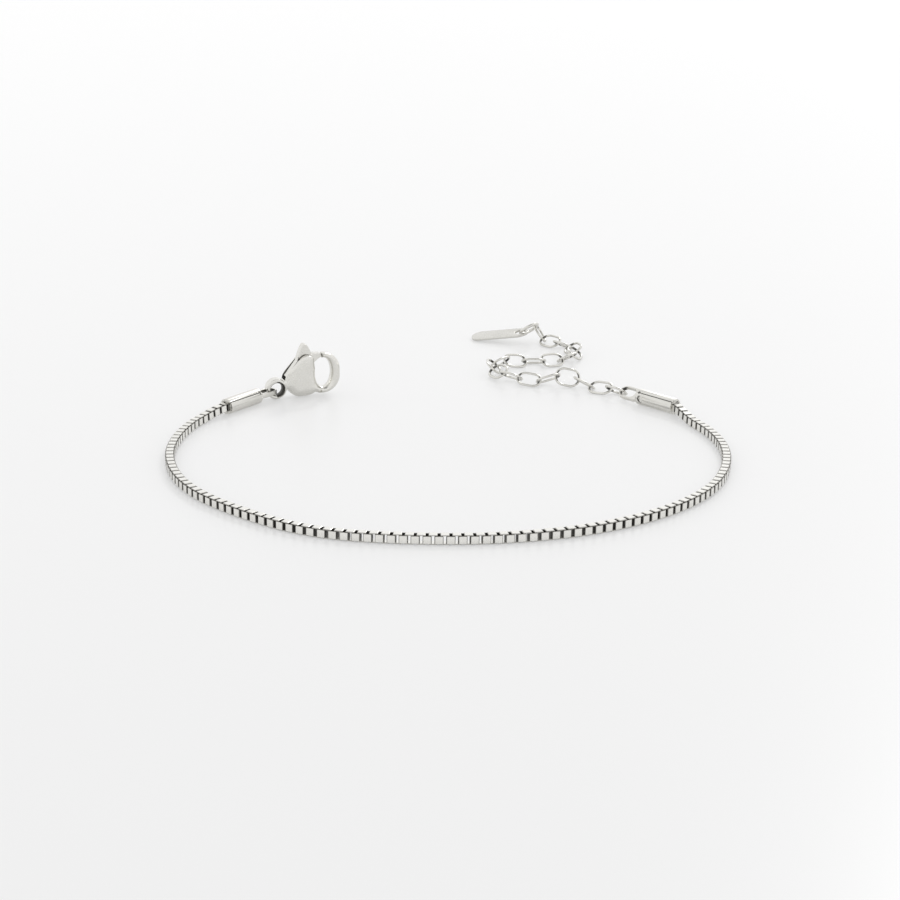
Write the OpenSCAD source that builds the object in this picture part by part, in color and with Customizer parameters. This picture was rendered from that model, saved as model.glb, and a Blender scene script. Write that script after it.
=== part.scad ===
// Chain bracelet laid open on a flat surface: a fine square box chain with a
// crimp on each end, a lobster clasp, and an extender chain with a ring and tag.
// Millimetres, Z up, the surface at z = 0.

/* [Box chain] */
// Side of the chain's square section
chain_side = 1.2; // [1.16:0.01:1.22]
// Distance along the chain from one link to the next
link_pitch = 0.675; // [0.67:0.001:0.68]
// Length of one link along the chain
link_length = 1.02; // [0.98:0.01:1.04]
// Width of the flat band that a link is folded from
link_band = 0.76; // [0.7:0.01:0.78]
// Thickness of the band
link_wall = 0.1; // [0.08:0.01:0.12]
// Cut across each outer corner of a link
link_corner = 0.12; // [0.06:0.01:0.15]

/* [Crimps] */
// Outer diameter of a crimp's tube
crimp_outer = 2.2; // [2.1:0.05:2.3]
// Bore of the tube
crimp_bore = 1.86; // [1.8:0.01:1.9]
// Length of the tube
crimp_length = 6.5; // [6.3:0.1:6.8]
// Thickness of the tube's closed end
crimp_end = 0.5; // [0.4:0.1:0.8]
// Rounding of the tube's outer rims
crimp_rim = 0.08; // [0.04:0.01:0.1]
// Width of the seam along the rolled tube
crimp_seam = 0.08; // [0.05:0.01:0.12]
// Reach of the loop past the tube's end
loop_length = 3.75; // [3.65:0.05:3.8]
// Width of the loop
loop_width = 2.1; // [2.1:0.1:2.4]
// Height of the loop
loop_height = 0.6; // [0.5:0.05:0.7]
// Width of the loop's hole
loop_hole = 1.5; // [1.4:0.05:1.5]
// Gap between the tube's end and the loop's hole
loop_gap = 0.9; // [0.8:0.05:1]
// Thickness of the loop's far wall
loop_wall = 0.25; // [0.25:0.01:0.3]
// Diameter of the round dent near the closed end
dent_width = 1.1; // [0.8:0.1:1.2]
// Distance from the closed end to the dent's centre
dent_reach = 0.9; // [0.8:0.05:1]
// Depth of the dent
dent_depth = 0.07; // [0.04:0.01:0.1]

/* [Clasp] */
// Outer radius of the clasp's eye
eye_outer = 1.5; // [1.45:0.01:1.5]
// Radius of the eye's hole
eye_hole = 1; // [0.95:0.01:1]
// Thickness of the eye
eye_thick = 0.95; // [0.8:0.05:1]
// Thickness of the clasp's body
body_thick = 2.8; // [2.7:0.1:3]
// Part of that thickness left at the body's edge
edge_part = 0.7; // [0.65:0.05:0.75]
// Part of the body's outline that its flat sides keep
side_part = 0.85; // [0.8:0.01:0.9]
// Thickness of the hook
hook_thick = 2; // [1.9:0.1:2.1]
// Outer radius of the hook's round ends
hook_outer = 2.56; // [2.5:0.01:2.6]
// Radius of the round ends of the opening inside the hook
hollow_round = 1.23; // [1.15:0.01:1.25]
// Width of the slot that holds the lever
slot_width = 1.6; // [1.55:0.05:1.65]
// Thickness of the lever
lever_thick = 1.4; // [1.3:0.05:1.4]
// Radius of the lever's hub
hub_radius = 0.9; // [0.8:0.05:0.95]
// Radius of the rivet
rivet_radius = 0.35; // [0.3:0.01:0.38]
// Length of the rivet
rivet_length = 2.7; // [2.6:0.05:2.8]
// Running clearance between the rivet and the lever's bore
rivet_fit = 0.05; // [0.03:0.01:0.08]

/* [Extender] */
// Distance from one extender link to the next
oval_pitch = 2.9; // [2.85:0.01:2.95]
// Outer length of an extender link
oval_length = 3.8; // [3.75:0.01:3.85]
// Outer width of an extender link
oval_width = 2.8; // [2.7:0.05:2.9]
// Diameter of the wire
oval_wire = 0.35; // [0.3:0.01:0.36]

/* [Ring and tag] */
// Mean radius of the ring
ring_radius = 1.5; // [1.45:0.01:1.55]
// Diameter of the ring's wire
ring_wire = 0.46; // [0.42:0.02:0.5]
// Length of the tag
tag_length = 9.4; // [9:0.1:9.8]
// Width of the tag
tag_width = 3.2; // [3:0.1:3.5]
// Thickness of the tag
tag_thick = 0.35; // [0.3:0.05:0.5]
// Radius of the tag's hole
tag_hole = 0.85; // [0.8:0.05:0.9]
// Distance from the hole's centre to the tag's tip
tag_tip = 1.35; // [1.2:0.05:1.5]

/* [Hidden] */
$fn = 48;

// Laid places are measured from the middle of the wrist loop, X right and Y away.
// The origin lies under the middle of the whole bracelet's box.
middle = [-0.085, 13.435];
cut_through = 9;

// Stretches of the box chain from the clasp's end: [links, degrees turned]
chain_rows = [
    [4, -3], [10, 23], [16, 17], [16, 19], [16, 22], [16, 12], [16, 27], [16, 11],
    [16, 14], [16, 17], [16, 17], [16, 21], [16, 17], [16, 22], [10, -2], [4, 18]
];
chain_start = [-30.13, 17.49];
chain_heading = -125.2;
// The chain's axis lies half its side above the surface, and rises to the crimps' axis
chain_height = chain_side / 2 + 0.01;
rise_links = 9;
hidden_links = 2;

row_heading = [
    for (i = 0, h = chain_heading; i < len(chain_rows); h = h + chain_rows[i][1], i = i + 1) h
];
link_heading = [
    for (i = [0:len(chain_rows) - 1])
        for (j = [0.5:chain_rows[i][0]])
            row_heading[i] + chain_rows[i][1] * j / chain_rows[i][0]
];
link_count = len(link_heading);
link_start = [
    for (i = 0, p = chain_start; i < link_count;
        p = p + link_pitch * direction(link_heading[i]), i = i + 1) p
];
crimp_height = crimp_outer / 2;
crimp_mouth = [[-30.93, 16.41], [31.31, 19.4]];
crimp_heading = [55.4, 133];

// The clasp's own plane: x along it from the eye, y up, with the eye at its left end
clasp_place = [-24.85, 24.25];
clasp_yaw = 22;
eye_place = [0.05, 1.51];
rivet_place = [4.55, 4.75];
hook_low = [6.95, 2.85];
hook_high = [6.95, 3.7];
hollow_low = [6.97, 2.42];
hollow_high = [6.97, 4.44];
hook_tip = [6.72, 4.2];
body_middle = [3.4, 2.9];
body_points = [
    [1, 2], [1, 3.05], [2.6, 4.8], [3.9, 6.25], [4.9, 6.15], [5.65, 5.6], [5.85, 3.2],
    [5.95, 0.7], [5.2, 0.25], [4.2, 0.12], [3, 0.12], [2.2, 0.6], [1.6, 1.3]
];
slot_points = [
    [0.9, 3], [1.75, 2.25], [2.6, 1.6], [3.7, 1.6], [4.1, 2.6], [4.4, 3.45],
    [6.2, 3.45], [6.2, 7], [1, 7]
];
// From the tail in the slot over the thumb fin and the arm to the hub's underside
lever_points = [
    [1.45, 3.2], [3.1, 5.3], [3.3, 6], [3.6, 6.9], [3.95, 7.6], [4.2, 7.75],
    [4.5, 7.7], [4.8, 7.3], [5.1, 6.7], [5.2, 6.3], [5.25, 6.05], [5.55, 6.3],
    [6.62, 6.22], [6.62, 5.7], [6.3, 5.5], [5.9, 5.2], [5.3, 4.7], [4.9, 4.1],
    [4, 4.05], [2.4, 2.7]
];

// Links of the extender from the crimp: [heading, roll, height of the joint it leads to]
oval_rows = [
    [126.5, 33, 0.79], [150.9, -26, 0.7], [133, 31, 1.18], [173.9, -67, 1.63], [182.1, 30, 0.74],
    [166, -29, 1.03], [143.7, 32, 1.13], [118.6, -36, 1.08], [87, 39, 1.14], [50.8, -44, 1.02],
    [16.9, 32, 0.76], [-3.3, -28, 0.84], [20.4, 32, 0.87], [47.2, -34, 0.97], [77.2, 37, 0.92],
    [106.7, -32, 0.81], [129.9, 28, 0.76], [136.8, -28, 0.82], [118.4, 42, 2.48]
];
joint_gap = 0.305;
oval_start = crimp_mouth[1] + (crimp_length + loop_length - loop_wall / 2 - joint_gap)
    * direction(crimp_heading[1]);
oval_lean = [
    for (i = [0:len(oval_rows) - 1])
        asin((oval_rows[i].z - (i == 0 ? crimp_height : oval_rows[i - 1].z)) / oval_pitch)
];
oval_places = [
    for (i = 0, p = [oval_start.x, oval_start.y, crimp_height]; i < len(oval_rows);
        p = p + oval_pitch * pointing(oval_rows[i].x, oval_lean[i]), i = i + 1) p
];
last_place = oval_places[len(oval_rows) - 1];
last_joint = [last_place.x, last_place.y];
oval_bend = (oval_width - oval_wire) / 2;

// Places of the ring and the tag from the last link's joint
ring_reach = [-2.268, 0.809];
ring_height = 2.256;
ring_turn = [0, 139.5, -43.9];
tag_reach = [-11.189, 2.648];
tag_height = 0.223;
tag_turn = [9.2, -9.57, -16.41];

function direction(a) = [cos(a), sin(a)];
function pointing(heading, lean) = [cos(lean) * cos(heading), cos(lean) * sin(heading), sin(lean)];
function smooth_step(s) = s * s * (3 - 2 * s);
function clamped(s) = min(max(s, 0), 1);
function rise(i) = (crimp_height - chain_height)
    * smooth_step(clamped(1 - (min(i, link_count - i) - hidden_links) / rise_links));
function link_lean(i) = atan((rise(i + 1) - rise(i)) / link_pitch);
function rounded(points) = [
    for (i = [0:len(points) - 1]) let (a = points[i], b = points[(i + 1) % len(points)])
        each [0.75 * a + 0.25 * b, 0.25 * a + 0.75 * b]
];
function drawn_in(points, part) = [for (p = points) body_middle + part * (p - body_middle)];

module laid(place, height) {
    translate([place.x - middle.x, place.y - middle.y, height]) children();
}

module stadium(from, to, radius) {
    for (p = [from, to]) translate(p) circle(radius);
    across = radius * direction(atan2(to.y - from.y, to.x - from.x) + 90);
    polygon([from + across, from - across, to - across, to + across]);
}

module box_link() {
    long = link_length / 2;
    wide = chain_side / 2;
    cut = link_corner;
    linear_extrude(link_band, center = true) difference() {
        polygon([
            [long, cut - wide], [long, wide - cut], [long - cut, wide], [cut - long, wide],
            [-long, wide - cut], [-long, cut - wide], [cut - long, -wide], [long - cut, -wide]
        ]);
        square([link_length - 2 * link_wall, chain_side - 2 * link_wall], center = true);
    }
}

module box_chain() {
    color("silver") for (i = [0:link_count - 1])
        laid(link_start[i] + link_pitch / 2 * direction(link_heading[i]), chain_height + rise(i + 0.5))
            rotate([0, -link_lean(i), link_heading[i]])
                rotate([90 * ((i + 1) % 2), 0, 0])
                    box_link();
}

// A crimp with its mouth at the origin and its loop towards +X
module crimp(seam_turn, loop_turn) {
    outer = crimp_outer / 2;
    bore = crimp_bore / 2;
    difference() {
        rotate([0, 90, 0]) rotate_extrude() polygon([
            [bore, 0], [outer - crimp_rim, 0], [outer, crimp_rim],
            [outer, crimp_length - crimp_rim], [outer - crimp_rim, crimp_length],
            [0, crimp_length], [0, crimp_length - crimp_end], [bore, crimp_length - crimp_end]
        ]);
        rotate([seam_turn, 0, 0]) translate([-1, -crimp_seam / 2, 0])
            cube([crimp_length - crimp_end + 1, crimp_seam, crimp_outer]);
        translate([crimp_length - dent_reach, outer - dent_depth, 0]) rotate([-90, 0, 0])
            cylinder(h = crimp_outer, r = dent_width / 2);
    }
    rotate([loop_turn, 0, 0]) linear_extrude(loop_height, center = true) difference() {
        union() {
            translate([crimp_length + loop_length - loop_width / 2, 0]) circle(loop_width / 2);
            translate([crimp_length - crimp_end / 2, -loop_width / 2])
                square([loop_length - loop_width / 2 + crimp_end / 2, loop_width]);
        }
        stadium([crimp_length + loop_gap + loop_hole / 2, 0],
            [crimp_length + loop_length - loop_wall - loop_hole / 2, 0], loop_hole / 2);
    }
}

module clasp_crimp() {
    color("silver") laid(crimp_mouth[0], crimp_height)
        rotate([0, 0, crimp_heading[0]])
            crimp(52, 0);
}

module extender_crimp() {
    color("silver") laid(crimp_mouth[1], crimp_height)
        rotate([0, 0, crimp_heading[1]])
            crimp(-42, -35);
}

module clasp_placed() {
    laid(clasp_place, 0) rotate([90, 0, clasp_yaw]) children();
}

module clasp_body() {
    outline = rounded(rounded(body_points));
    color("silver") clasp_placed() difference() {
        union() {
            translate(eye_place) cylinder(h = eye_thick, r = eye_outer, center = true);
            hull() {
                linear_extrude(body_thick * edge_part, center = true) polygon(outline);
                linear_extrude(body_thick, center = true) polygon(drawn_in(outline, side_part));
            }
            linear_extrude(hook_thick, center = true) difference() {
                stadium(hook_low, hook_high, hook_outer);
                translate([0, hook_tip.y]) square([hook_tip.x, 5]);
            }
        }
        linear_extrude(cut_through, center = true) stadium(hollow_low, hollow_high, hollow_round);
        translate(eye_place) cylinder(h = cut_through, r = eye_hole, center = true);
        linear_extrude(slot_width, center = true) polygon(slot_points);
        translate(rivet_place) cylinder(h = cut_through, r = rivet_radius, center = true);
    }
}

module clasp_lever() {
    color("gainsboro") clasp_placed() difference() {
        union() {
            linear_extrude(lever_thick, center = true) polygon(lever_points);
            translate(rivet_place) cylinder(h = lever_thick, r = hub_radius, center = true);
        }
        translate(rivet_place) cylinder(h = cut_through, r = rivet_radius + rivet_fit, center = true);
    }
}

module clasp_rivet() {
    color("gray") clasp_placed() translate(rivet_place)
        cylinder(h = rivet_length, r = rivet_radius, center = true);
}

module oval_link() {
    half = (oval_length - oval_width) / 2;
    for (side = [0, 180]) rotate([0, 0, side]) {
        translate([half, 0, 0]) rotate([0, 0, -90]) rotate_extrude(angle = 180)
            translate([oval_bend, 0]) circle(oval_wire / 2);
        translate([-half, oval_bend, 0]) rotate([0, 90, 0])
            cylinder(h = 2 * half, r = oval_wire / 2);
    }
}

module extender_chain() {
    color("silver") for (i = [0:len(oval_rows) - 1])
        laid(oval_places[i], oval_places[i].z) rotate([0, -oval_lean[i], oval_rows[i].x])
            translate([oval_pitch / 2, 0, 0])
                rotate([oval_rows[i].y, 0, 0])
                    oval_link();
}

module tag_ring() {
    color("silver") laid(last_joint + ring_reach, ring_height) rotate(ring_turn) rotate_extrude()
        translate([ring_radius, 0]) circle(ring_wire / 2);
}

module tag() {
    color("gainsboro") laid(last_joint + tag_reach, tag_height) rotate(tag_turn)
        linear_extrude(tag_thick) difference() {
            stadium([tag_width / 2, 0], [tag_length - tag_width / 2, 0], tag_width / 2);
            translate([tag_length - tag_tip, 0]) circle(tag_hole);
        }
}

box_chain();
clasp_crimp();
extender_crimp();
clasp_body();
clasp_lever();
clasp_rivet();
extender_chain();
tag_ring();
tag();
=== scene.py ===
import math
import random

import bpy
from mathutils import Matrix, Vector
from mathutils.kdtree import KDTree


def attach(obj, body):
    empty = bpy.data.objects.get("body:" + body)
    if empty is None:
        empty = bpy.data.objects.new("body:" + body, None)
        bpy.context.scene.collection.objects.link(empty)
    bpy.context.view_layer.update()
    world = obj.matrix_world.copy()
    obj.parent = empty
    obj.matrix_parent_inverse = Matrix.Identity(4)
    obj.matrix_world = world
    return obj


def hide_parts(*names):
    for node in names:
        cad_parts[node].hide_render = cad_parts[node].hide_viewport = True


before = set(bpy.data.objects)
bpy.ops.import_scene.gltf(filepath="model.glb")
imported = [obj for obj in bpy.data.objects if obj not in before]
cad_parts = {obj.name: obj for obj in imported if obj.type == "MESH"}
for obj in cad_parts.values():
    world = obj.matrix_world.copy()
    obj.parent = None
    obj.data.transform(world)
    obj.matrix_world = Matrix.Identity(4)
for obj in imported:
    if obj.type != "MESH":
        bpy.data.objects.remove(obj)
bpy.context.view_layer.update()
mm = 0.001
middle = Vector((-0.085, 13.435, 0))  # the laid places are measured from the wrist loop's middle


def direction(degrees):
    a = math.radians(degrees)
    return Vector((math.cos(a), math.sin(a), 0))


def turned(degrees, axis):
    return Matrix.Rotation(math.radians(degrees), 4, axis)


def laid(place, height, *turns):
    # millimetres on the surface, brought to metres in the shared frame
    spot = Vector((place[0], place[1], height)) - middle
    matrix = Matrix.Scale(mm, 4) @ Matrix.Translation(spot)
    for turn in turns:
        matrix = matrix @ turn
    return matrix


def clamped(part):
    return min(max(part, 0), 1)


def eased(part):
    return part * part * (3 - 2 * part)


def nothingPicked():
    if bpy.context.object and bpy.context.object.mode != "OBJECT":
        bpy.ops.object.mode_set(mode="OBJECT")
    bpy.ops.object.select_all(action="DESELECT")


def onlyPick(piece):
    nothingPicked()
    piece.select_set(True)
    bpy.context.view_layer.objects.active = piece


def pickFaces(piece, test):
    onlyPick(piece)
    bpy.ops.object.mode_set(mode="EDIT")
    bpy.ops.mesh.select_mode(type="FACE")
    bpy.ops.mesh.select_all(action="DESELECT")
    bpy.ops.object.mode_set(mode="OBJECT")
    for face in piece.data.polygons:
        face.select = bool(test(face))
    bpy.ops.object.mode_set(mode="EDIT")


def pickPoints(piece, test):
    onlyPick(piece)
    bpy.ops.object.mode_set(mode="EDIT")
    bpy.ops.mesh.select_mode(type="VERT")
    bpy.ops.mesh.select_all(action="DESELECT")
    bpy.ops.object.mode_set(mode="OBJECT")
    for point in piece.data.vertices:
        point.select = bool(test(point.co))
    bpy.ops.object.mode_set(mode="EDIT")


def doneEditing():
    bpy.ops.object.mode_set(mode="OBJECT")


def applied(piece, kind, **settings):
    onlyPick(piece)
    modifier = piece.modifiers.new(kind.title(), kind)
    for name, value in settings.items():
        setattr(modifier, name, value)
    bpy.ops.object.modifier_apply(modifier=modifier.name)


def cutWith(piece, cutter, operation="DIFFERENCE"):
    applied(piece, "BOOLEAN", object=cutter, operation=operation, solver="EXACT")
    bpy.data.objects.remove(cutter)


def softEdges(piece, width, segments=2, angle=40):
    applied(piece, "BEVEL", width=width, segments=segments, limit_method="ANGLE",
            angle_limit=math.radians(angle), use_clamp_overlap=True)


def smoothed(piece, angle=40):
    onlyPick(piece)
    bpy.ops.object.shade_smooth_by_angle(angle=math.radians(angle))


def named(name):
    piece = bpy.context.object
    piece.name = piece.data.name = name
    return piece


def placed(name):
    # the new primitive's place and turn go into its mesh
    bpy.ops.object.transform_apply(location=True, rotation=True, scale=True)
    return named(name)


def plate(name, outline, thickness):
    # a flat outline in its own plane, given its thickness on both sides of it
    nothingPicked()
    bpy.ops.mesh.primitive_circle_add(vertices=len(outline), radius=1, fill_type="NGON")
    piece = named(name)
    for point, spot in zip(piece.data.vertices, outline):
        point.co = (spot[0], spot[1], -thickness / 2)
    pickFaces(piece, lambda face: True)
    bpy.ops.mesh.extrude_region_move(TRANSFORM_OT_translate={"value": (0, 0, thickness)})
    bpy.ops.mesh.select_all(action="SELECT")
    bpy.ops.mesh.normals_make_consistent(inside=False)
    doneEditing()
    return piece


def stadium(start, end, radius, steps=20):
    heading = math.atan2(end[1] - start[1], end[0] - start[0])
    outline = []
    for centre, first in ((end, heading - math.pi / 2), (start, heading + math.pi / 2)):
        for i in range(steps + 1):
            a = first + math.pi * i / steps
            outline.append((centre[0] + radius * math.cos(a), centre[1] + radius * math.sin(a)))
    return outline


def oval(centre, halves, steps=64):
    turns = [2 * math.pi * i / steps for i in range(steps)]
    return [(centre[0] + halves[0] * math.cos(a), centre[1] + halves[1] * math.sin(a)) for a in turns]


def copied(model, matrix):
    piece = model.copy()
    piece.data = model.data.copy()
    piece.data.transform(matrix)
    bpy.context.collection.objects.link(piece)
    return piece


def joinedAs(name, parts):
    nothingPicked()
    for part in parts:
        part.select_set(True)
    bpy.context.view_layer.objects.active = parts[0]
    bpy.ops.object.join()
    return named(name)


def finishPiece(piece, body, node):
    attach(piece, body)
    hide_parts(node)
    print("made", piece.name, len(piece.data.polygons), "faces")


polishLook = {
    "cloudDetail": 4,
    "dragDetail": 6,
    "dragFiner": 5,  # the drag lines are this much finer than the clouding
    "dragStretch": (1, 1, 6),
    "waveDepth": 0.02 * mm,
}


def makePolishMarks(look):
    # the faint clouding, drag lines and waviness that hand polishing leaves
    group = bpy.data.node_groups.new("polishMarks", "ShaderNodeTree")
    colour, number = "NodeSocketColor", "NodeSocketFloat"
    for name, kind in (("Tone", colour), ("Worn Tone", colour), ("Gloss", number),
                       ("Spread", number), ("Scale", number)):
        group.interface.new_socket(name=name, in_out="INPUT", socket_type=kind)
    for name, kind in (("Color", colour), ("Roughness", number), ("Height", number)):
        group.interface.new_socket(name=name, in_out="OUTPUT", socket_type=kind)
    nodes, links = group.nodes, group.links
    entry = nodes.new("NodeGroupInput")
    leave = nodes.new("NodeGroupOutput")
    place = nodes.new("ShaderNodeTexCoord")
    cloud = nodes.new("ShaderNodeTexNoise")
    cloud.inputs["Detail"].default_value = look["cloudDetail"]
    fine = nodes.new("ShaderNodeTexNoise")
    fine.inputs["Detail"].default_value = look["dragDetail"]
    finer = nodes.new("ShaderNodeMath")
    finer.operation = "MULTIPLY"
    finer.inputs[1].default_value = look["dragFiner"]
    drag = nodes.new("ShaderNodeMapping")
    drag.inputs["Scale"].default_value = look["dragStretch"]
    mix = nodes.new("ShaderNodeMix")
    mix.data_type = "RGBA"
    spread = nodes.new("ShaderNodeMath")
    spread.operation = "MULTIPLY_ADD"
    links.new(place.outputs["Object"], cloud.inputs["Vector"])
    links.new(place.outputs["Object"], drag.inputs["Vector"])
    links.new(drag.outputs["Vector"], fine.inputs["Vector"])
    links.new(entry.outputs["Scale"], cloud.inputs["Scale"])
    links.new(entry.outputs["Scale"], finer.inputs[0])
    links.new(finer.outputs[0], fine.inputs["Scale"])
    links.new(cloud.outputs["Fac"], mix.inputs["Factor"])
    links.new(entry.outputs["Tone"], mix.inputs["A"])
    links.new(entry.outputs["Worn Tone"], mix.inputs["B"])
    links.new(mix.outputs["Result"], leave.inputs["Color"])
    links.new(fine.outputs["Fac"], spread.inputs[0])
    links.new(entry.outputs["Spread"], spread.inputs[1])
    links.new(entry.outputs["Gloss"], spread.inputs[2])
    links.new(spread.outputs[0], leave.inputs["Roughness"])
    links.new(cloud.outputs["Fac"], leave.inputs["Height"])
    return group


polishMarks = makePolishMarks(polishLook)

# tone and its clouded tone, least roughness and its spread, fineness and strength of the marks
finishes = {
    "chainSteel": ((0.88, 0.87, 0.835), (0.78, 0.77, 0.73), 0.16, 0.12, 1400, 0.6),
    # the next three are painted shade: darker tones for the links' rims, corners, end walls and insides
    "chainRimPaintedShade": ((0.62, 0.61, 0.58), (0.45, 0.44, 0.41), 0.25, 0.2, 1600, 0.4),
    "chainEdgePaintedShade": ((0.34, 0.33, 0.31), (0.2, 0.195, 0.18), 0.3, 0.2, 1600, 0.4),
    "chainInsidePaintedShade": ((0.16, 0.155, 0.14), (0.07, 0.067, 0.06), 0.4, 0.2, 1600, 0.4),
    "fittingSteel": ((0.78, 0.77, 0.735), (0.69, 0.68, 0.64), 0.36, 0.14, 700, 0.35),
    # painted shade for the crimps' mouths, seams, pits, dents and loop holes
    "fittingPaintedShade": ((0.24, 0.235, 0.22), (0.1, 0.097, 0.09), 0.35, 0.2, 900, 0.3),
    "claspSteel": ((0.77, 0.76, 0.725), (0.68, 0.67, 0.63), 0.2, 0.12, 600, 0.4),
    "claspShade": ((0.14, 0.135, 0.125), (0.05, 0.048, 0.042), 0.35, 0.2, 900, 0.4),
    "grooveShade": ((0.42, 0.41, 0.39), (0.26, 0.25, 0.235), 0.35, 0.2, 900, 0.4),
    "wireSteel": ((0.76, 0.75, 0.715), (0.62, 0.61, 0.57), 0.18, 0.12, 1100, 0.45),
    "wireShade": ((0.22, 0.215, 0.2), (0.09, 0.087, 0.08), 0.3, 0.2, 1100, 0.45),
    "tagSteel": ((0.71, 0.7, 0.665), (0.6, 0.59, 0.555), 0.2, 0.12, 500, 0.3),
}


def steel(name, tone, wornTone, gloss, spread, scale, wave):
    material = bpy.data.materials.new(name)
    material.use_nodes = True
    nodes, links = material.node_tree.nodes, material.node_tree.links
    shader = nodes["Principled BSDF"]
    shader.inputs["Metallic"].default_value = 1
    marks = nodes.new("ShaderNodeGroup")
    marks.node_tree = polishMarks
    marks.inputs["Tone"].default_value = (*tone, 1)
    marks.inputs["Worn Tone"].default_value = (*wornTone, 1)
    marks.inputs["Gloss"].default_value = gloss
    marks.inputs["Spread"].default_value = spread
    marks.inputs["Scale"].default_value = scale
    bump = nodes.new("ShaderNodeBump")
    bump.inputs["Strength"].default_value = wave
    bump.inputs["Distance"].default_value = polishLook["waveDepth"]
    links.new(marks.outputs["Color"], shader.inputs["Base Color"])
    links.new(marks.outputs["Roughness"], shader.inputs["Roughness"])
    links.new(marks.outputs["Height"], bump.inputs["Height"])
    links.new(bump.outputs["Normal"], shader.inputs["Normal"])
    return material


metal = {name: steel(name, *values) for name, values in finishes.items()}
print("finishes ready")


def dressed(piece, *names):
    piece.data.materials.clear()
    for name in names:
        piece.data.materials.append(metal[name])


chainLook = {
    # stretches from the clasp's end: links, degrees turned
    "rows": [(4, -3), (10, 23), (16, 17), (16, 19), (16, 22), (16, 12), (16, 27), (16, 11),
             (16, 14), (16, 17), (16, 17), (16, 21), (16, 17), (16, 22), (10, -2), (4, 18)],
    "start": Vector((-30.13, 17.49, 0)),
    "heading": -125.2,
    "pitch": 0.675,
    "height": 0.61,
    "crimpHeight": 1.1,
    "riseLinks": 9,
    "hiddenLinks": 2,
    "side": 1.18,
    "length": 1.02,
    "band": 0.91,
    "wall": 0.13,
    "corner": 0.08,
    "edge": 0.02,
    "edgeAngle": 50,
    "play": 0.7,  # degrees that a link sways in its neighbours
    "playSeed": 5,
    # parts of a face's normal: from where on it faces the band's rim, a side or an end
    "rimFacing": 0.5,
    "sideFacing": 0.97,
    "endFacing": 0.1,
}


def linkPlaces(look):
    headings = []
    heading = look["heading"]
    for count, bend in look["rows"]:
        headings += [heading + bend * (j + 0.5) / count for j in range(count)]
        heading += bend
    total = len(headings)

    def rise(i):
        fromMouth = min(i, total - i) - look["hiddenLinks"]
        return (look["crimpHeight"] - look["height"]) * eased(clamped(1 - fromMouth / look["riseLinks"]))

    places = []
    spot = look["start"].copy()
    for i, heading in enumerate(headings):
        step = look["pitch"] * direction(heading)
        lean = math.degrees(math.atan((rise(i + 1) - rise(i)) / look["pitch"]))
        places.append(laid(spot + step / 2, look["height"] + rise(i + 0.5), turned(heading, "Z"),
                           turned(-lean, "Y"), turned(90 * ((i + 1) % 2), "X")))
        spot += step
    return places


def makeLink(look):
    nothingPicked()
    bpy.ops.mesh.primitive_cube_add(size=1, scale=(look["length"], look["side"], look["band"]))
    link = named("boxLink")
    pickFaces(link, lambda face: abs(face.normal.z) > look["rimFacing"])
    bpy.ops.mesh.delete(type="FACE")
    doneEditing()
    softEdges(link, look["corner"])
    applied(link, "SOLIDIFY", thickness=look["wall"], offset=-1, use_even_offset=True)
    softEdges(link, look["edge"], 1, look["edgeAngle"])
    dressed(link, "chainSteel", "chainEdgePaintedShade", "chainInsidePaintedShade", "chainRimPaintedShade")
    return link


def shadeLink(link, look, flat):
    # painted shade: rims and corners get a darker tone (lighter on flat links), end walls and insides a dark
    # one; the outer side faces, and a flat link's inner side faces, keep the bright steel
    for face in link.data.polygons:
        centre, normal = face.center, face.normal
        inward = Vector((centre.x, centre.y, 0)).dot(normal) < 0
        rim = abs(normal.z) > look["rimFacing"]
        side = abs(normal.y) > look["sideFacing"]
        corner = not inward and not side and abs(normal.y) > look["endFacing"]
        if rim or corner:
            face.material_index = 3 if flat else 1
        elif side and (not inward or flat):
            face.material_index = 0
        else:
            face.material_index = 2


def makeBoxChain(look):
    model = makeLink(look)
    sway = random.Random(look["playSeed"])
    parts = []
    for i, matrix in enumerate(linkPlaces(look)):
        shadeLink(model, look, flat=i % 2 == 0)
        for axis in "XYZ":
            matrix = matrix @ turned(sway.uniform(-1, 1) * look["play"], axis)
        parts.append(copied(model, matrix))
    bpy.data.objects.remove(model)
    finishPiece(joinedAs("boxLinks", parts), "bracelet", "box_chain")


makeBoxChain(chainLook)


crimpLook = {
    # mouth's place, heading, turn of the seam and turn of the loop about the tube's axis
    "clasp": ((-30.93, 16.41), 55.4, 52, 0),
    "extender": ((31.31, 19.4), 133, -42, -35),
    "height": 1.1,
    "radius": 1.1,
    "wall": 0.28,
    "length": 6.5,
    "sides": 58,  # the seam is as wide as one of them
    "rim": 0.09,
    "capDepth": 0.4,
    "capInset": 0.04,
    "capEdge": 0.08,
    "skinPart": 0.6,  # part of the wall that counts as the tube's outer skin
    "loopReach": 3.75,
    "loopRoot": 0.2,
    "loopWidth": 2.1,
    "loopHeight": 0.6,
    "loopEdge": 0.1,
    "holeGap": 0.9,
    "holeWidth": 1.5,
    "farWall": 0.25,
    "dentRadius": 0.52,
    "dentReach": 0.85,
    "dentDepth": 0.24,
    "punch": 1,
    "pitRadius": 0.2,
    "pitReach": 0.4,
    "liningStart": 0.15,
    "liningGap": 0.01,
    "cutDepth": 3,
    # where the seam, dent, pit and hole start, and how near to them a face still belongs to them
    "seamEnds": 0.2,
    "dentFront": 0.7,
    "dentMargin": 0.08,
    "pitMargin": 0.006,
    "holeStart": 0.3,
    "holeMargin": 0.02,
}


def tubeAdded(name, radius, start, length, sides=48, ends="NGON"):
    # a tube or rod along the crimp's own x
    nothingPicked()
    bpy.ops.mesh.primitive_cylinder_add(vertices=sides, radius=radius, depth=length, end_fill_type=ends,
                                        location=(start + length / 2, 0, 0),
                                        rotation=(0, math.pi / 2, 0))
    return placed(name)


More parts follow.
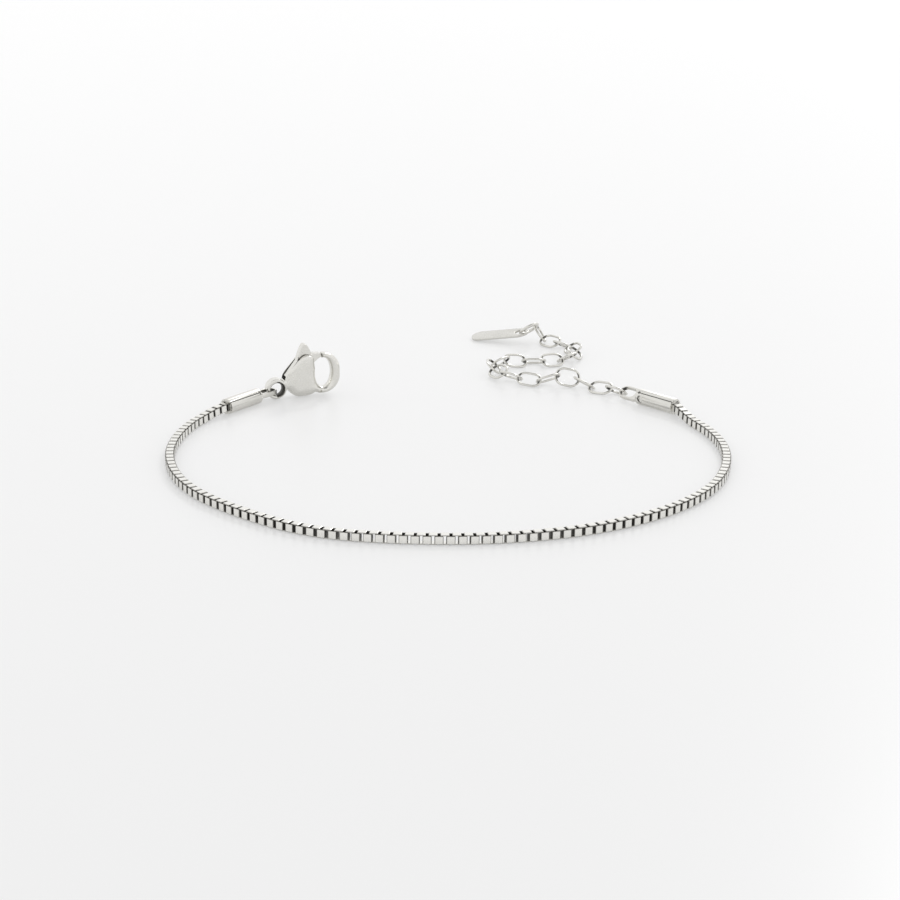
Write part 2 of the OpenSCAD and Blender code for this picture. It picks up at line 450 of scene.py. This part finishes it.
def makeTube(name, look, seam, pit):
    tube = tubeAdded(name, look["radius"], 0, look["length"], look["sides"], "NOTHING")
    facing = max(face.normal.dot(seam) for face in tube.data.polygons) - 1e-5  # the one that faces it most
    pickFaces(tube, lambda face: face.normal.dot(seam) > facing)
    bpy.ops.mesh.delete(type="FACE")
    doneEditing()
    applied(tube, "SOLIDIFY", thickness=look["wall"], offset=-1, use_even_offset=True)

    floor = look["radius"] - look["dentDepth"]
    nothingPicked()
    bpy.ops.mesh.primitive_cylinder_add(
        vertices=32, radius=look["dentRadius"], depth=look["punch"],
        location=(look["length"] - look["dentReach"], floor + look["punch"] / 2, 0),
        rotation=(math.pi / 2, 0, 0))
    cutWith(tube, named("dentCutter"))
    # the seam opens into a small pit at the loop's end
    nothingPicked()
    bpy.ops.mesh.primitive_uv_sphere_add(segments=24, ring_count=12, radius=look["pitRadius"], location=pit)
    cutWith(tube, named("pitCutter"))
    softEdges(tube, look["rim"])
    smoothed(tube)
    return tube


def makeCap(name, look):
    cap = tubeAdded(name, look["radius"] - look["wall"] * look["skinPart"],
                    look["length"] - look["capDepth"] - look["capInset"], look["capDepth"])
    softEdges(cap, look["capEdge"])
    smoothed(cap)
    return cap


def makeLining(name, look):
    # the rolled tube is closed behind its seam
    length = look["length"] - look["capDepth"] - look["liningStart"]
    return tubeAdded(name, look["radius"] - look["wall"] - look["liningGap"], look["liningStart"], length)


def makeLoop(name, look, turn):
    half = look["loopWidth"] / 2
    hole = look["holeWidth"] / 2
    end = look["length"] + look["loopReach"]
    loop = plate(name, stadium((look["length"] - look["loopRoot"] + half, 0), (end - half, 0), half),
                 look["loopHeight"])
    cutWith(loop, plate("loopCutter", stadium((look["length"] + look["holeGap"] + hole, 0),
                                              (end - look["farWall"] - hole, 0), hole), look["cutDepth"]))
    softEdges(loop, look["loopEdge"], 3)
    smoothed(loop)
    loop.data.transform(turned(turn, "X"))
    return loop


def shadeCrimp(crimp, look, own, pit):
    # painted shade: dark in the mouth, seam, pit, dent and the loop's hole; own turns places to the crimp's
    # own axes
    # the plain figures are parts of a normal: how squarely a face looks along an axis
    tubeEnd = look["length"]
    dentPlace = tubeEnd - look["dentReach"]
    mouthEnd = tubeEnd - look["capDepth"] - look["liningGap"]
    skin = look["radius"] - look["skinPart"] * look["wall"]
    for face in crimp.data.polygons:
        centre = own @ face.center
        normal = (own.to_3x3() @ face.normal).normalized()
        fromAxis = Vector((0, centre.y, centre.z))
        outward = fromAxis.normalized().dot(normal)
        deep = fromAxis.length < skin and outward < 0.9
        inMouth = deep and centre.x < mouthEnd and normal.x > -0.9
        inPit = (centre - pit).length < look["pitRadius"] + look["pitMargin"]
        alongTube = look["seamEnds"] < centre.x < tubeEnd - look["seamEnds"]
        inSeam = alongTube and abs(outward) < 0.3 and abs(normal.x) < 0.5
        fromDent = math.hypot(centre.x - dentPlace, centre.z) - look["dentRadius"]
        atDent = centre.y > look["dentFront"] and abs(fromDent) < look["dentMargin"]
        inDent = atDent and abs(normal.y) < 0.4
        overLoop = centre.x > tubeEnd + look["holeStart"]
        atHole = overLoop and fromAxis.length < look["holeWidth"] / 2 + look["holeMargin"]
        inHole = atHole and abs(normal.z) < 0.5
        face.material_index = 1 if inMouth or inPit or inSeam or inDent or inHole else 0


def makeCrimp(name, look, node):
    mouth, heading, seamTurn, loopTurn = look[name]
    seam = turned(seamTurn, "X") @ Vector((0, 0, 1))
    pit = Vector((look["length"] - look["pitReach"], 0, 0)) + look["radius"] * seam
    crimp = joinedAs(name + "Crimp", [makeTube(name + "Tube", look, seam, pit), makeCap(name + "Cap", look),
                                      makeLining(name + "Lining", look),
                                      makeLoop(name + "Loop", look, loopTurn)])
    place = laid(mouth, look["height"], turned(heading, "Z"))
    crimp.data.transform(place)
    dressed(crimp, "fittingSteel", "fittingPaintedShade")
    shadeCrimp(crimp, look, place.inverted(), pit)
    finishPiece(crimp, "bracelet", node)


makeCrimp("clasp", crimpLook, "clasp_crimp")
makeCrimp("extender", crimpLook, "extender_crimp")


claspLook = {
    # in the clasp's own plane: x along it from the eye, y up
    "place": (-24.85, 24.25),
    "yaw": 22,
    "eye": (0.05, 1.51),
    "eyeRadius": 1.5,
    "eyeHole": 0.88,
    "eyeShade": 1.16,
    "body": [(1, 2), (1, 3.05), (2.6, 4.8), (3.9, 6.25), (4.9, 6.15), (5.65, 5.6), (5.85, 3.2),
             (5.95, 0.7), (5.2, 0.25), (4.2, 0.12), (3, 0.12), (2.2, 0.6), (1.6, 1.3)],
    "hook": ((6.95, 2.85), (6.95, 3.7), 2.56),
    "hollow": (6.95, 3.38),
    "hollowHalf": (1.22, 2.14),
    "hookTip": (6.72, 4.2),
    "top": 9,
    "slot": [(0.9, 3), (1.75, 2.25), (2.6, 1.6), (3.7, 1.6), (4.1, 2.6), (4.4, 3.45),
             (6.2, 3.45), (6.2, 7), (1, 7)],
    "slotWidth": 1.6,
    "slotShade": ((1, 1.6), (6.2, 7)),
    "blank": 3,
    "grain": 0.055,
    "rounds": 6,
    # half thickness and width of the rounding, from the eye to the hook's far side
    "along": (-2, 0.2, 1.3, 2.4, 4.4, 5.6, 6.8, 9.6),
    "halfThick": (0.68, 0.7, 1.0, 1.3, 1.4, 1.3, 0.92, 0.88),
    "rounding": (0.27, 0.3, 0.6, 1.1, 1.3, 1.0, 0.64, 0.64),
    # part of the thickness left at the edge, and how much more along the lever's crest
    "edgePart": 0.2,
    "crestPart": 0.65,
    "crestFoot": (1.2, 2.2),
    "crestSlope": 0.6,
    "crestWidth": 1.2,
    "crestEnd": 6.1,
    "crestFade": 0.8,
    "leverGrain": 0.04,
    "leverSlim": 0.82,  # slimmer than its slot, so that a groove runs along each side
    "leverShift": (-0.05, 0, 0),
    "cheekEnd": 3.3,
    "rivet": (4.55, 4.75, 0),
    "rivetRadius": 0.35,
    "rivetLength": 2.7,
    "rivetEdge": 0.1,
    "nick": (6.35, 0.72, 0.75),
    "nickRadius": 0.32,
}


def cornerCut(points):
    softened = []
    for i, a in enumerate(points):
        b = points[(i + 1) % len(points)]
        for part in (0.25, 0.75):
            softened.append((a[0] + part * (b[0] - a[0]), a[1] + part * (b[1] - a[1])))
    return softened


def along(look, name, x):
    stops, values = look["along"], look[name]
    for i in range(1, len(stops)):
        if x <= stops[i]:
            part = eased(max(0, (x - stops[i - 1]) / (stops[i] - stops[i - 1])))
            return values[i - 1] + part * (values[i] - values[i - 1])
    return values[-1]


def swollen(piece, look):
    # the flat blank is swelled like a cast clasp: full in the middle, rounded off at its edges
    points = piece.data.vertices
    walls = [p.co.copy() for p in points if abs(p.normal.z) < 0.6]
    tree = KDTree(len(walls))
    for i, co in enumerate(walls):
        tree.insert((co.x, co.y, 0), i)
    tree.balance()
    footX, footY = look["crestFoot"]
    for p in points:
        x, y, z = p.co
        edge = tree.find((x, y, 0))[2]
        half = along(look, "halfThick", x)
        reach = min(edge / along(look, "rounding", x), 1)
        overFoot = y - footY - look["crestSlope"] * (x - footX)
        crest = clamped(overFoot / look["crestWidth"]) * clamped((look["crestEnd"] - x) / look["crestFade"])
        low = look["edgePart"] + look["crestPart"] * crest
        p.co.z = z / (look["blank"] / 2) * half * (low + (1 - low) * math.sqrt(1 - (1 - reach) ** 2))


def makeBody(look, place):
    depth = look["blank"]
    body = plate("claspShell", cornerCut(cornerCut(look["body"])), depth)
    cutWith(body, plate("eyeBlank", stadium(look["eye"], look["eye"], look["eyeRadius"]), depth), "UNION")
    hook = plate("hookBlank", stadium(*look["hook"], steps=36), depth)
    x, y = look["hookTip"]
    cutWith(hook, plate("tipCutter", [(0, y), (x, y), (x, look["top"]), (0, look["top"])], depth + 1))
    cutWith(body, hook, "UNION")
    cutWith(body, plate("hollowCutter", oval(look["hollow"], look["hollowHalf"]), depth + 1))
    cutWith(body, plate("holeCutter", stadium(look["eye"], look["eye"], look["eyeHole"]), depth + 1))
    applied(body, "REMESH", mode="VOXEL", voxel_size=look["grain"])
    swollen(body, look)
    applied(body, "SMOOTH", factor=0.5, iterations=look["rounds"])
    cutWith(body, plate("slotCutter", look["slot"], look["slotWidth"]))
    nothingPicked()
    bpy.ops.mesh.primitive_uv_sphere_add(segments=24, ring_count=12, radius=look["nickRadius"],
                                         location=look["nick"])
    cutWith(body, named("nickCutter"))
    smoothed(body, 50)
    dressed(body, "claspSteel", "claspShade", "grooveShade")
    shadeBody(body, look)
    body.data.transform(place)
    finishPiece(body, "bracelet", "clasp_body")


def shadeBody(body, look):
    eye = Vector((*look["eye"], 0))
    (left, low), (right, high) = look["slotShade"]
    for face in body.data.polygons:
        centre, normal = face.center, face.normal
        out = Vector((centre.x, centre.y, 0)) - eye
        inHole = out.x > 0 and out.length < look["eyeShade"] and out.normalized().dot(normal) < -0.2
        slotSide = abs(centre.z) < look["slotWidth"] / 2 + 0.01 and abs(normal.z) > 0.99
        inSlot = slotSide and left < centre.x < right and low < centre.y < high
        face.material_index = 2 if inSlot else 1 if inHole else 0


def makeLever(look, place):
    # a cast part: the solid's own form with its edges rounded over by tumbling
    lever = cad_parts["clasp_lever"].copy()
    lever.data = lever.data.copy()
    lever.parent = None
    bpy.context.collection.objects.link(lever)
    lever.name = lever.data.name = "thumbLever"
    for key in list(lever.keys()):
        del lever[key]
    lever.data.transform(Matrix.Scale(1 / mm, 4))
    pickFaces(lever, lambda face: True)
    bpy.ops.mesh.remove_doubles(threshold=0.002)
    doneEditing()
    applied(lever, "REMESH", mode="VOXEL", voxel_size=look["leverGrain"])
    applied(lever, "SMOOTH", factor=0.5, iterations=look["rounds"])
    lever.data.transform(Matrix.Scale(mm, 4))
    smoothed(lever, 60)
    lever.data.transform(place.inverted())
    slimmed = Matrix.Diagonal((1, 1, look["leverSlim"], 1))
    lever.data.transform(Matrix.Translation(look["leverShift"]) @ slimmed)
    dressed(lever, "claspSteel", "grooveShade")
    for face in lever.data.polygons:
        face.material_index = 1 if abs(face.normal.z) > 0.6 and face.center.x < look["cheekEnd"] else 0
    lever.data.transform(place)
    finishPiece(lever, "lever", "clasp_lever")


def makeRivet(look, place):
    nothingPicked()
    bpy.ops.mesh.primitive_cylinder_add(vertices=40, radius=look["rivetRadius"], depth=look["rivetLength"],
                                        location=look["rivet"])
    rivet = placed("leverRivet")
    softEdges(rivet, look["rivetEdge"], 3)
    smoothed(rivet, 60)
    rivet.data.transform(place)
    dressed(rivet, "claspSteel")
    finishPiece(rivet, "bracelet", "clasp_rivet")


claspPlace = laid(claspLook["place"], 0, turned(claspLook["yaw"], "Z"), turned(90, "X"))
makeBody(claspLook, claspPlace)
makeLever(claspLook, claspPlace)
makeRivet(claspLook, claspPlace)


extenderLook = {
    # links from the crimp: heading, roll, height of the joint that it leads to
    "rows": [(126.5, 33, 0.79), (150.9, -26, 0.7), (133, 31, 1.18), (173.9, -67, 1.63), (182.1, 30, 0.74),
             (166, -29, 1.03), (143.7, 32, 1.13), (118.6, -36, 1.08), (87, 39, 1.14), (50.8, -44, 1.02),
             (16.9, 32, 0.76), (-3.3, -28, 0.84), (20.4, 32, 0.87), (47.2, -34, 0.97), (77.2, 37, 0.92),
             (106.7, -32, 0.81), (129.9, 28, 0.76), (136.8, -28, 0.82), (118.4, 42, 2.48)],
    "jointGap": 0.305,
    "pitch": 2.9,
    "length": 3.8,
    "width": 2.8,
    "wire": 0.36,
    # where the painted shade at a link's ends starts
    "paintedShadeStart": 1.3,  # from the link's middle
}


def makeOvalLink(look):
    nothingPicked()
    bpy.ops.mesh.primitive_torus_add(major_radius=(look["width"] - look["wire"]) / 2,
                                     minor_radius=look["wire"] / 2, major_segments=40, minor_segments=12)
    link = named("ovalLink")
    half = (look["length"] - look["width"]) / 2
    for side in (1, -1):
        pickPoints(link, lambda co: co.x * side > 0.01)  # all but the middle ones
        bpy.ops.transform.translate(value=(side * half, 0, 0))
    doneEditing()
    smoothed(link, 60)
    # painted shade: the inward faces at each link's ends, where two links meet, are darker
    dressed(link, "wireSteel", "wireShade")
    for face in link.data.polygons:
        out = Vector((face.center.x, face.center.y, 0)).normalized()
        atEnd = abs(face.center.x) > look["paintedShadeStart"]
        face.material_index = 1 if atEnd and out.dot(face.normal) < -0.1 else 0
    return link


def makeExtender(look):
    model = makeOvalLink(look)
    mouth, heading = crimpLook["extender"][:2]
    reach = crimpLook["length"] + crimpLook["loopReach"] - crimpLook["farWall"] / 2 - look["jointGap"]
    spot = Vector((*mouth, 0)) + reach * direction(heading)
    height = crimpLook["height"]
    parts = []
    for heading, roll, nextHeight in look["rows"]:
        lean = math.asin((nextHeight - height) / look["pitch"])
        parts.append(copied(model, laid(spot, height, turned(heading, "Z"), turned(-math.degrees(lean), "Y"),
                                        Matrix.Translation((look["pitch"] / 2, 0, 0)), turned(roll, "X"))))
        lastJoint = spot.copy()
        spot += look["pitch"] * math.cos(lean) * direction(heading)
        height = nextHeight
    bpy.data.objects.remove(model)
    finishPiece(joinedAs("ovalLinks", parts), "bracelet", "extender_chain")
    return lastJoint


lastJoint = makeExtender(extenderLook)


tagLook = {
    # the ring's and the tag's places are measured from the last link's joint
    "ringReach": Vector((-2.268, 0.809, 0)),
    "ringHeight": 2.256,
    "ringTurn": (139.5, -43.9),
    "ringRadius": 1.5,
    "ringWire": 0.52,
    "reach": Vector((-11.189, 2.648, 0)),
    "height": 0.223,
    "turn": (9.2, -9.57, -16.41),
    "length": 9.4,
    "width": 3.2,
    "thick": 0.35,
    "hole": 0.85,
    "tip": 1.35,
    "edge": 0.1,
}


def makeRing(look, joint):
    nothingPicked()
    bpy.ops.mesh.primitive_torus_add(major_radius=look["ringRadius"], minor_radius=look["ringWire"] / 2,
                                     major_segments=56, minor_segments=14)
    ring = named("endRing")
    smoothed(ring, 60)
    lean, heading = look["ringTurn"]
    ring.data.transform(laid(joint + look["ringReach"], look["ringHeight"],
                             turned(heading, "Z"), turned(lean, "Y")))
    dressed(ring, "wireSteel")
    finishPiece(ring, "bracelet", "tag_ring")


def makeTag(look, joint):
    half = look["width"] / 2
    tag = plate("endTag", stadium((half, 0), (look["length"] - half, 0), half, 32), look["thick"])
    nothingPicked()
    bpy.ops.mesh.primitive_cylinder_add(vertices=40, radius=look["hole"], depth=2,
                                        location=(look["length"] - look["tip"], 0, 0))
    cutWith(tag, named("tagCutter"))
    softEdges(tag, look["edge"], 3)
    smoothed(tag)
    roll, lean, heading = look["turn"]
    tag.data.transform(laid(joint + look["reach"], look["height"], turned(heading, "Z"),
                            turned(lean, "Y"), turned(roll, "X"),
                            Matrix.Translation((0, 0, look["thick"] / 2))))
    dressed(tag, "tagSteel")
    finishPiece(tag, "bracelet", "tag")


makeRing(tagLook, lastJoint)
makeTag(tagLook, lastJoint)


studio = {
    "floorTone": (0.5, 0.5, 0.5),
    "floorGlow": 0.34,
    "floorGloss": 0.3,
    "floorShine": 0.15,
    "floorSize": 8,
    "skyStrength": 1.04,
    # a darker patch overhead gives the curved metal its dark lines
    "darkWay": Vector((0, -0.25, 0.97)),
    "darkCore": 0.97,
    "darkEdge": 0.86,
    "darkLight": 0.28,
    "sunStrength": 0.55,
    "sunWay": Vector((-0.65, -1.67, -1.2)),
    "sunSize": 9,
    "cameraSpot": Vector((0.085, -251.12, 78.09)),
    "cameraAim": Vector((0.085, -13.435, 0.6)),
    "cameraRoll": 0.8098,
    "focalPixels": 1924.5,
    "framePixels": 900,
    "sensor": 36,
    "clip": (0.01, 20),
}


def makeFloor(look):
    nothingPicked()
    bpy.ops.mesh.primitive_plane_add(size=look["floorSize"])
    floor = named("floor")
    paper = bpy.data.materials.new("floorPaper")
    paper.use_nodes = True
    shader = paper.node_tree.nodes["Principled BSDF"]
    shader.inputs["Base Color"].default_value = (*look["floorTone"], 1)
    shader.inputs["Roughness"].default_value = look["floorGloss"]
    shader.inputs["Specular IOR Level"].default_value = look["floorShine"]
    shader.inputs["Emission Color"].default_value = (1, 1, 1, 1)
    shader.inputs["Emission Strength"].default_value = look["floorGlow"]
    floor.data.materials.append(paper)


def makeSky(look):
    world = bpy.data.worlds.new("studioSky")
    world.use_nodes = True
    nodes, links = world.node_tree.nodes, world.node_tree.links
    sky = nodes["Background"]
    sky.inputs["Strength"].default_value = look["skyStrength"]
    way = nodes.new("ShaderNodeTexCoord")
    near = nodes.new("ShaderNodeVectorMath")
    near.operation = "DOT_PRODUCT"
    near.inputs[1].default_value = look["darkWay"].normalized()
    fade = nodes.new("ShaderNodeMapRange")
    fade.interpolation_type = "SMOOTHSTEP"
    fade.inputs["From Min"].default_value = look["darkEdge"]
    fade.inputs["From Max"].default_value = look["darkCore"]
    fade.inputs["To Min"].default_value = 1
    fade.inputs["To Max"].default_value = look["darkLight"]
    links.new(way.outputs["Generated"], near.inputs[0])
    links.new(near.outputs["Value"], fade.inputs["Value"])
    links.new(fade.outputs["Result"], sky.inputs["Color"])
    bpy.context.scene.world = world


def makeSun(look):
    nothingPicked()
    bpy.ops.object.light_add(type="SUN")
    sun = bpy.context.object
    sun.rotation_euler = look["sunWay"].to_track_quat("-Z", "Y").to_euler()
    sun.data.energy = look["sunStrength"]
    sun.data.angle = math.radians(look["sunSize"])


def makeCamera(look):
    nothingPicked()
    bpy.ops.object.camera_add()
    camera = bpy.context.object
    aim = (look["cameraAim"] - look["cameraSpot"]).normalized()
    camera.matrix_world = (Matrix.Translation(look["cameraSpot"] * mm)
                           @ aim.to_track_quat("-Z", "Y").to_matrix().to_4x4()
                           @ turned(look["cameraRoll"], "Z"))
    camera.data.lens = look["focalPixels"] / look["framePixels"] * look["sensor"]
    camera.data.sensor_width = look["sensor"]
    camera.data.sensor_fit = "HORIZONTAL"
    camera.data.clip_start, camera.data.clip_end = look["clip"]
    bpy.context.scene.camera = camera


makeFloor(studio)
makeSky(studio)
makeSun(studio)
makeCamera(studio)
bpy.context.scene.view_settings.view_transform = "Standard"
print("studio ready")
